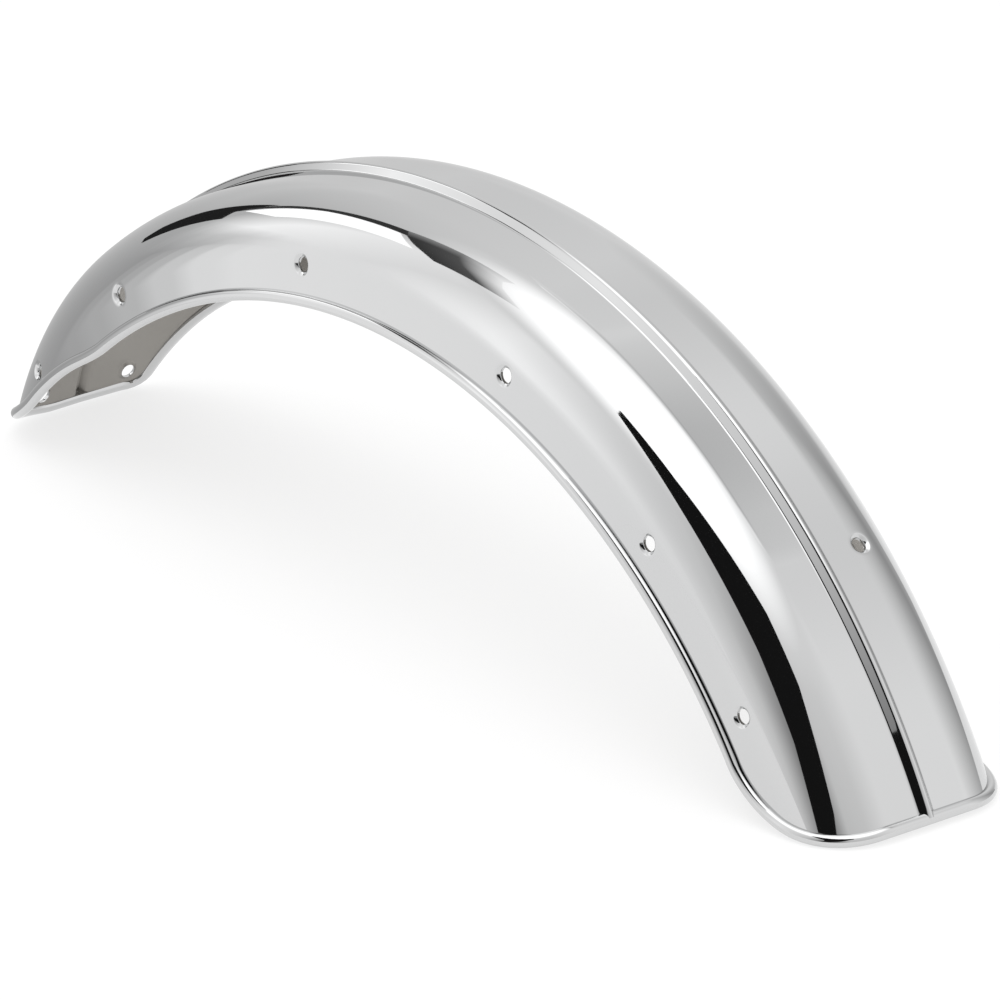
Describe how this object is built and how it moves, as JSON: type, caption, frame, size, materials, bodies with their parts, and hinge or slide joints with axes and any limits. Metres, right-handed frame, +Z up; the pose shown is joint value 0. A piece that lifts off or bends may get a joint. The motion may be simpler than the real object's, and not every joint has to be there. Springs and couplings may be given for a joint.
{
  "type": "motorcycle rear fender",
  "caption": "Chromed motorcycle rear fender with a centre rib, splayed skirts, a rolled bead edge and bolt holes along both sides.",
  "frame": {"origin": "on the floor, under the middle of the fender's box, as it stands on its two ends", "axes": "+X forward, towards the tapered front tab; +Y to the left; +Z up"},
  "size_m": [0.5988, 0.1146, 0.1912],
  "materials": {
    "chrome_steel": "mirror outside, satin inside"
  },
  "bodies": {
    "root": {"fender": "chrome_steel"}
  },
  "joints": []
}
